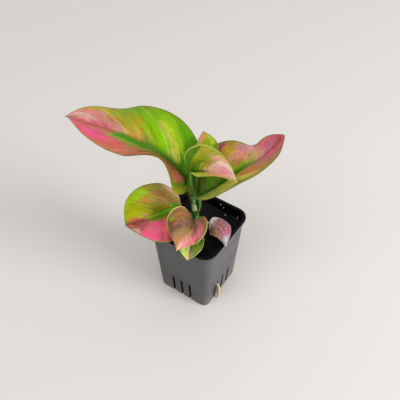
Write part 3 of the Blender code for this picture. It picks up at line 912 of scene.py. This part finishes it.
leaves["leaf_lower_left"] = dict(
    name="lowerLeftLeaf", base=(-16.3, -2.5, 98), length=55.3, width=(28.7, 28.8),
    heading=(252, 239, 221), pitch=(18.5, -1.5, -15), roll=(-11, 5),
    rise=((-14, -10, 45), (9, 45, 65)), blunt=0.51, keen=0.8, lobe=(0, 9.2), sweep=0.21, foot=90,
    bow=(-1.5, -0.5), petiole=1.4, grid=(110, 60), veins=9, lean=(0.02, 0.45), quilt=0.26,
    ruffle=0.3,
    left={0: "586c14", 0.2: "8c4834", 0.35: "bc4c5c", 0.5: "c85470", 0.62: "bc5464", 0.72: "ac5058",
          0.85: "b45c5c", 1: "a4a048"},
    right={0: "807030", 0.06: "806828", 0.14: "746404", 0.24: "6c6800", 0.36: "707400",
           0.5: "7c8000", 0.62: "8c9404", 0.8: "94a004", 1: "94a00c"},
    patches=(
        (0.56, 0.82, 0.1, 0.3, "d84c78", 0.9), (0.45, 0.1, 0.22, 0.16, "608010", 0.95),
        (0.7, 0.9, 0.06, 0.2, "c4a090", 0.85), (0.78, 0.1, 0.12, 0.36, "a84054", 0.9),
        (0.83, 0.66, 0.08, 0.28, "d46c70", 0.85), (0.88, 0.06, 0.06, 0.3, "c45468", 0.85),
        (0.22, -0.3, 0.09, 0.2, "984c44", 0.85), (0.08, -0.72, 0.06, 0.3, "a87c7c", 0.7),
        (0.3, -0.66, 0.07, 0.18, "8c5034", 0.75), (0.5, -0.6, 0.08, 0.14, "946028", 0.75),
        (0.63, -0.1, 0.05, 0.12, "a0506c", 0.5), (0.6, -0.88, 0.28, 0.2, "709800", 0.8),
        (0.12, -0.15, 0.1, 0.16, "488810", 0.9), (0.84, -0.18, 0.1, 0.2, "b06840", 0.6),
    ),
    rib={0: "548c44", 0.15: "2c7c0c", 0.4: "4c8c10", 0.62: "889818", 0.7: "a04048", 1: "a0981c"},
    splash=("905c20", "84941c"), fleck="b4a838", veinShow=0.16, ribShade=0.6, edge="70840c",
    line="2c4408", stalk=("2c5824", "5c8450")
)
leaves["leaf_front"] = dict(
    name="frontLeaf", base=(4.1, -12.9, 103), length=37.2, width=(15.8, 21.1),
    heading=(291, 276, 277), pitch=(30, -7, -42), roll=(-3, 0),
    rise=((40, -7, -40), (46, -13, -48)), blunt=0.46, keen=1.07, lobe=(0.5, 2), sweep=0.06, foot=86,
    bow=(0, -1.5), petiole=1.1, veins=8, lean=(0.35, 0.3), quilt=0.2, ruffle=0.2,
    left={0: "80603c", 0.12: "644830", 0.25: "784840", 0.4: "b06860", 0.55: "c07870", 0.7: "b87c70",
          0.82: "c8948c", 0.93: "e0b09c", 1: "e4c498"},
    right={0: "6c5030", 0.15: "68502c", 0.3: "70583c", 0.45: "b48c68", 0.6: "cc9c78",
           0.74: "d0a05c", 0.83: "ecb4a8", 0.93: "e4b4a0", 1: "e4c498"},
    patches=(
        (0.2, 0.5, 0.09, 0.3, "986474", 0.85), (0.34, 0.68, 0.12, 0.26, "c4606c", 0.85),
        (0.56, 0.7, 0.08, 0.2, "cc6070", 0.85), (0.16, 0.94, 0.1, 0.12, "b8804c", 0.45),
        (0.5, 0.06, 0.12, 0.2, "9c8430", 0.85), (0.25, 0.04, 0.18, 0.16, "6c542c", 0.8),
        (0.33, -0.3, 0.12, 0.26, "7c5450", 0.85), (0.28, -0.76, 0.07, 0.14, "808010", 0.9),
        (0.37, -0.62, 0.03, 0.1, "d06050", 0.5), (0.15, -0.55, 0.08, 0.3, "885034", 0.7),
        (0.75, -0.5, 0.07, 0.5, "cc943c", 0.85), (0.87, -0.2, 0.07, 0.55, "e4a4a0", 0.9),
    ),
    rib={0: "585018", 0.3: "886c3c", 0.6: "a48854", 0.8: "cc9480", 1: "dcb890"},
    splash=("a07c44", "b87868"), fleck="dcb890", ribShade=0.2, edge="c4ac68", line="b49c5c",
    stalk=("3c5814", "7c883c")
)
leaves["leaf_front_green"] = dict(
    name="frontGreenLeaf", base=(5.2, -14.5, 88.9), length=33.4, width=(11.2, 13),
    heading=(294, 296), pitch=(14, -9), roll=(-8, -8), rise=((16, 9), (22, 14)), blunt=0.62,
    keen=0.99, lobe=(3, 3), sweep=0.09, foot=80.5, bow=(2, -4), petiole=1, grid=(80, 40), veins=7,
    quilt=0.18, ruffle=0.15,
    left={0: "486810", 0.4: "6c8420", 0.6: "788048", 0.8: "987c64", 0.92: "b8ac84", 1: "e8e0b0"},
    right={0: "486810", 0.5: "7c9428", 0.75: "9ca44c", 0.9: "b8b06c", 1: "e4dca4"},
    patches=(
        (0.48, 0.6, 0.16, 0.34, "6c8c28", 0.8), (0.72, 0.16, 0.08, 0.18, "7c7c68", 0.9),
        (0.83, 0.34, 0.06, 0.24, "b87854", 0.8), (0.78, -0.66, 0.12, 0.34, "acbc50", 0.8),
        (0.66, -0.1, 0.08, 0.16, "9ca088", 0.8),
    ),
    rib={0: "487c14", 0.6: "8c9c64", 0.8: "b0a038", 1: "e4dca4"},
    splash=("a09838", "88a828"), fleck="dcdc9c", ribShade=0.3, edge="d0d094", line="a0a858",
    stalk=("3c6814", "7c9c38")
)
leaves["leaf_withered"] = dict(
    name="witheredLeaf", base=(8, 7.2, 83.3), length=36.2, width=(11.8, 7.9), heading=(342, 309),
    pitch=(3.7, 12.8), rise=((8, 51), (-44, 65)), blunt=0.66, keen=0.93, lobe=(5.8, 0.5),
    sweep=0.07, foot=80, bow=(1, 2), petiole=0.9, grid=(110, 96), veins=8, lean=(0.1, 0.1),
    quilt=0.3, ruffle=0.5, crumple=0.8,
    left={0: "d8d4d0", 0.06: "d4c8cc", 0.12: "a87c8c", 0.3: "cc7c9c", 0.5: "d87898", 0.64: "d0a0b8",
          0.76: "dcd4f0", 0.9: "e4dcf8", 1: "dcd8d4"},
    right={0: "c8c0b8", 0.05: "84705c", 0.2: "7c543c", 0.36: "986c40", 0.5: "b0886c", 0.7: "ac8878",
           0.9: "948088", 1: "ccc8c4"},
    patches=(
        (0.3, 0.5, 0.07, 0.18, "b08068", 0.7), (0.52, 0.27, 0.17, 0.045, "ffa0c8", 1),
        (0.8, 0.34, 0.14, 0.34, "ecf0ff", 0.95), (0.34, 0.27, 0.08, 0.06, "e0a898", 0.8),
        (0.38, -0.22, 0.12, 0.2, "bc8444", 0.9), (0.28, 0.02, 0.12, 0.12, "8c5440", 0.8),
        (0.26, -0.7, 0.12, 0.26, "48241c", 0.85), (0.62, -0.3, 0.14, 0.34, "bc948c", 0.7),
    ),
    rib={0: "d4ccc0", 0.25: "a06870", 0.5: "d498a8", 0.8: "dcd4e8", 1: "dcd8d4"},
    strokes=((0.06, -1, "f4f0ec", 0.8), (0.2, -1, "e8ccd0", 0.7), (0.31, -1, "e8bcc8", 0.6),
             (0.42, -1, "e0b8bc", 0.5), (0.06, 1, "fcf8f4", 0.8), (0.4, 1, "ffc8dc", 0.5),
             (0.5, 1, "ffc4dc", 0.6), (0.62, 1, "fce4f4", 0.7)),
    splash=("7c5858", "d4a8bc"), fleck="f0dce4", veinShow=0.55, ribShade=0.15, edge="c8a8b8",
    line="a88498", stalk=("98948c", "d8d4c8")
)

bladeMake = dict(
    thickness=0.5, edgeShare=0.4, sharpAngle=70, leanPower=1.2,
    quiltVein=0.17, ribDepth=0.3, ribWidth=1.1, sway=0.3, swaySize=11,
    stalkGroove=0.3, stalkWing=0.55, stalkEnd=0.22, stalkSunk=(0.42, 0.2),
    stalkShares=(0.0, 0.08, 0.2, 0.35, 0.5, 0.65, 0.8, 0.92), stalkGrid=(16, 22),
)


def midribFrames(shape, steps=120):
    # points down the midrib, each with its direction, its left side and its normal
    frames = []
    place = Vector(shape["base"])
    last = None
    for count in range(steps + 1):
        heading, pitch, roll = (radians(alongKeys(shape[turn], count / steps))
                                for turn in ("heading", "pitch", "roll"))
        ahead = Vector((cos(pitch) * cos(heading), cos(pitch) * sin(heading),
                        sin(pitch)))
        level = Vector((-sin(heading), cos(heading), 0.0))
        upright = ahead.cross(level)
        left = cos(roll) * level + sin(roll) * upright
        normal = cos(roll) * upright - sin(roll) * level
        if last:
            place = place + (last + ahead) / 2 * shape["length"] / steps
        frames.append((place, ahead, left, normal))
        last = ahead
    return frames


def frameAt(frames, share):
    place = min(max(share, 0.0), 1.0) * (len(frames) - 1)
    index = min(int(place), len(frames) - 2)
    return [a.lerp(b, place - index) for a, b in zip(frames[index], frames[index + 1])]


def sideOf(v):
    return 0 if v >= 0.5 else 1  # left, right


def marginPoint(shape, share, side):
    # flat place of the leaf's edge: along the midrib and out from it
    share = min(max(share, 0.0), 1.0)
    blunt, keen = shape["blunt"], shape["keen"]
    peak = (blunt / (blunt + keen)) ** blunt * (keen / (blunt + keen)) ** keen
    out = shape["width"][side] * share ** blunt * (1 - share) ** keen / peak
    lean = shape["sweep"] * sin(pi * share) * share ** 0.3
    back = sin(pi * min(share / 0.3, 1.0) ** 0.7)
    return shape["length"] * (share + lean) - shape["lobe"][side] * back, out


def bladeSpot(shape, frames, u, v):
    side, reach = sideOf(v), abs(2 * v - 1)
    edgeDown, edgeOut = marginPoint(shape, u, side)
    share = mix(shape["length"] * u, edgeDown, reach) / shape["length"]
    out = edgeOut * reach
    inside = min(max(share, 0.0), 1.0)
    place, ahead, left, normal = frameAt(frames, share)
    place = place + ahead * (share - inside) * shape["length"]
    rise = radians(alongKeys(shape["rise"][side], inside))
    curl = radians(shape["curl"][side]) / shape["width"][side]
    if curl:
        across = (sin(rise + curl * out) - sin(rise)) / curl
        above = (cos(rise) - cos(rise + curl * out)) / curl
    else:
        across, above = out * cos(rise), out * sin(rise)
    return place + (-across if side else across) * left + above * normal


def bladeRelief(shape, u, v, place):
    # quilted between the side veins, grooved at the midrib, wavy at the edge
    side, reach = sideOf(v), abs(2 * v - 1)
    out = reach * marginPoint(shape, u, side)[1]
    veinPlace = (u - shape["lean"][side] * reach ** bladeMake["leanPower"]) * shape["veins"]
    vein = veinPlace - round(veinPlace)
    fade = step(0.02, 0.2, reach) * (1 - step(0.7, 1.0, reach)) * step(0.0, 0.08, u)
    quilt = shape["quilt"] * (0.5 - bell(vein, bladeMake["quiltVein"])) * fade
    groove = -bladeMake["ribDepth"] * bell(out, bladeMake["ribWidth"]) * (1 - 0.7 * u)
    seed = (3.0, 8.0)[side]
    wave = shape["ruffle"] * reach ** 3 * noise.noise(Vector((u * 7 + seed, seed, 0)))
    sway = bladeMake["sway"] * noise.noise(place / bladeMake["swaySize"])
    fold = Vector((u * 2.2, v * 11, 4))
    crumple = noise.noise(fold) + 0.4 * noise.noise(fold * 2.3)
    sway += shape["crumple"] * crumple * reach ** 0.5
    ends = step(0.0, 0.04, u) * (1 - step(0.97, 1.0, u))
    return quilt + (groove + wave + sway) * ends


def addStalk(shape, frames):
    # grooved stalk with a winged foot that runs on under the midrib
    foot, base = stemAt(shape["foot"]), Vector(shape["base"])
    middle = foot.lerp(base, 0.5) + Vector((*shape["bow"], 0.0))
    shares = bladeMake["stalkShares"]
    full = shape["petiole"] * shape["clasp"]
    points, radii = [foot, middle], [full * 1.15, full]
    for share in shares:
        place, ahead, left, normal = frameAt(frames, share)
        radius = mix(shape["petiole"] * 0.85, bladeMake["stalkEnd"], min(share / 0.9, 1) ** 0.7)
        sunk, tipSunk = bladeMake["stalkSunk"]
        points.append(place - normal * (radius + sunk - tipSunk * share))
        radii.append(radius)
    last = len(points) - 1

    def section(u, angle):
        radius = alongKeys(radii, u)
        onStalk = 1 - step(1.6 / last, 3.0 / last, u)
        groove = 1 - bladeMake["stalkGroove"] * bell(angle, 0.6) * onStalk
        wing = 1 + bladeMake["stalkWing"] * (1 - step(0.0, 1.6 / last, u))
        return radius * groove * wing, radius * groove

    def upper(u):
        place = int(u * last) - 2
        return frameAt(frames, shares[min(place, len(shares) - 1)] if place >= 0 else 0.05)[3]

    rows, around = bladeMake["stalkGrid"]
    return layTube("stalk", points, section, upper, rows * last, around)


def spaced(x):
    # rows stand closer together at the two ends
    return mix(x, (1 - cos(pi * x)) / 2, 0.9)


def addLeaf(shape, coats):
    # coats: upper side, underside, stalk
    frames = midribFrames(shape)
    blade = layGrid(shape["name"], *shape["grid"],
                    lambda u, v: bladeSpot(shape, frames, u, v), spaced)
    pushOut(blade, lambda u, v, place: bladeRelief(shape, u, v, place))
    thick = blade.vertex_groups.new(name="thick")
    layer = blade.data.uv_layers[0].data
    for loop in blade.data.loops:
        u, v = layer[loop.index].uv
        weight = mix(1.0, bladeMake["edgeShare"], max((2 * v - 1) ** 2, u ** 6))
        thick.add([loop.vertex_index], weight, "REPLACE")
    weld(blade, 0.003)
    wall = blade.modifiers.new("wall", "SOLIDIFY")
    wall.thickness = bladeMake["thickness"] * mm
    wall.offset = -1
    wall.vertex_group = thick.name
    wall.material_offset = 1
    wall.use_even_offset = False
    stalk = addStalk(shape, frames)
    for coat in coats:
        blade.data.materials.append(coat)
        stalk.data.materials.append(coat)
    for face in stalk.data.polygons:
        face.material_index = 2
    applyAll(blade)
    leaf = joinAll([blade, stalk])
    leaf.vertex_groups.clear()
    return leaf


leafPaint = dict(
    fibres={  # stretch along and across the side veins, detail, roughness
        "streak": (4.0, 2.2, 5, 0.65), "mottle": (9.0, 6.0, 5, 0.7), "hair": (20.0, 2.0, 3, 0.6),
        "cloud": (2.6, 3.0, 4, 0.6), "splash": (1.7, 3.4, 6, 0.7),
    },
    feather=((0.1, 0.22), (0.13, 0.42), (0.03, 0.09)),  # reach of streak, blot and fray
    patchSpread=1.3, splashes=(3.7, 9.2), splashShow=0.5, strokeWidth=(0.012, 0.002),
    hues=(0.485, 0.515), mottleShade=(0.87, 1.12), hairShade=(0.94, 1.05),
    cloudShade=(0.85, 1.13), fleckShow=0.2, ribWidth=(0.075, 0.03),
    # ribShade is the colour multiplied in as painted shade beside the midrib
    ribShade="a0ac90", under=("c8cc68", "b0a09c"), underShow=0.3, underFade=0.78,
    rough=(0.36, 0.5), mattRough=(0.5, 0.66), bump=(0.35, 0.08),
    wax={"Coat Weight": 0.05, "Coat Roughness": 0.3},
    flesh={
        "Specular IOR Level": 0.17, "Specular Tint": "fff4b8", "Subsurface Weight": 0.08,
        "Subsurface Radius": (1.0, 0.7, 0.25), "Subsurface Scale": 0.001,
    },
)


def leafFinish(name, leaf, under=False, dry=False):
    # pattern in leaf space: along is 0 at the base and 1 at the tip, across is 1 at
    # the left edge and -1 at the right one; its borders feather out along the veins
    startFinish(name)
    paint, power = leafPaint, bladeMake["leanPower"]
    veins, lean, fleck = leaf["veins"], leaf["lean"], leaf["fleck"]
    spot = objectSpot()
    down, across = splitUp(placed(uvSpot(), (0, -1, 0), (1, 2, 1)))[:2]
    reach = sums("ABSOLUTE", across)
    slant = ranged(across, -0.01, 0.01, lean[1], lean[0])
    along = sums("SUBTRACT", down, times(sums("POWER", reach, power), slant))
    raw = addNode("CombineXYZ", {0: along, 1: across})[0]

    def fibre(kind, shift=0.0, output="Fac"):
        # grain that is stretched along the side veins
        longways, crossways, detail, rough = paint["fibres"][kind]
        place = placed(raw, (shift, shift, shift), (veins * longways, crossways, 1))
        return grain(place, 1.0, detail, rough, output)

    moved = raw
    pushes = (fibre("streak", output="Color"), grain(spot, 120, 5, 0.6, "Color"),
              grain(spot, 520, 3, 0.6, "Color"))
    for push, (far, wide) in zip(pushes, paint["feather"]):
        inputs = {0: push, 1: (far, wide, 0), 2: placed(moved, (-far / 2, -wide / 2, 0))}
        moved = addNode("VectorMath", inputs, operation="MULTIPLY_ADD")[0]
    halfMoved = addNode("Mix", {0: 0.5, 4: raw, 5: moved}, data_type="VECTOR")[1]
    soft = splitUp(halfMoved)[0]

    base = blended(ranged(across, -0.03, 0.03), ramp(soft, leaf["right"]), ramp(soft, leaf["left"]))
    spread = paint["patchSpread"]
    for u, v, length, width, code, strength in leaf["patches"]:
        middle = (u - lean[0 if v > 0 else 1] * abs(v) ** power, v, 0)
        inside = placed(moved, middle, (length * spread, width * spread, 1), "TEXTURE")
        ball = addNode("TexGradient", {0: inside}, gradient_type="SPHERICAL")["Fac"]
        base = blended(ranged(ball, 0.0, 0.6, 0, strength), base, code)

    # splashes and fine mottling, stretched along the side veins
    mottle, hair, cloud = fibre("mottle"), fibre("hair"), fibre("cloud")
    pastBase = ranged(down, 0.1, 0.26)
    for seed, code in zip(paint["splashes"], leaf["splash"]):
        cover = ranged(fibre("splash", seed), 0.54, 0.66, 0, paint["splashShow"])
        base = blended(times(cover, pastBase), base, code)
    for place, side, code, strength in leaf["strokes"]:
        gap = sums("ABSOLUTE", sums("SUBTRACT", along, place))
        line = times(ranged(gap, *paint["strokeWidth"], 0, strength),
                     ranged(times(across, side), 0.02, 0.12), ranged(mottle, 0.3, 0.6, 0.3, 1))
        base = blended(line, base, code)
    shade = times(swing(mottle, *paint["mottleShade"]), swing(hair, *paint["hairShade"]),
                  swing(cloud, *paint["cloudShade"]))
    base = addNode("HueSaturation", {
        "Hue": swing(grain(spot, 420), *paint["hues"]), "Value": shade,
        "Saturation": paint["underFade"] if under else 1.0, "Color": base})[0]

    # dots, side veins, midrib, margin
    vein = times(ranged(sums("PINGPONG", times(along, float(veins)), 0.5), 0.06, 0.0),
                 ranged(mottle, 0.35, 0.65, 0.02, leaf["veinShow"]), ranged(reach, 0.95, 0.6))
    specks = grain(spot, 1100, 3, 0.6)
    base = layered(base, (ranged(specks, 0.64, 0.74, 0, paint["fleckShow"]), fleck), (vein, fleck))
    fromRib = sums("DIVIDE", reach, ranged(down, 0.0, 1.0, *paint["ribWidth"]))
    # painted shade beside the midrib, where the blade folds
    base = blended(ranged(fromRib, 2.8, 1.1, 0, leaf["ribShade"]), base, paint["ribShade"], "MULTIPLY")
    base = layered(base, (ranged(fromRib, 1.25, 0.55), ramp(soft, leaf["rib"])),
                   (ranged(reach, 0.93, 0.985, 0, 0.75), leaf["edge"]),
                   (ranged(reach, 0.982, 0.996, 0, 0.8), leaf["line"]))
    if under:
        base = blended(paint["underShow"], base, paint["under"][dry])
    matt = under or dry
    rough = swing(mottle, *paint["mattRough" if matt else "rough"])
    return endFinish(base, rough, blended(0.5, mottle, hair), *paint["bump"],
                     paint["flesh"] | ({} if matt else paint["wax"]))


for node, leaf in leaves.items():
    leaf = plainLeaf | leaf
    name, dry = leaf["name"], node == "leaf_withered"
    piece = addLeaf(leaf, (
        leafFinish(name + "Top", leaf, dry=dry),
        leafFinish(name + "Under", leaf, under=True, dry=dry),
        stalkFinish(name + "Stalk", *leaf["stalk"]),
    ))
    finishPiece(piece, node, degrees=bladeMake["sharpAngle"])
    print(name, "is made,", len(piece.data.polygons), "faces")
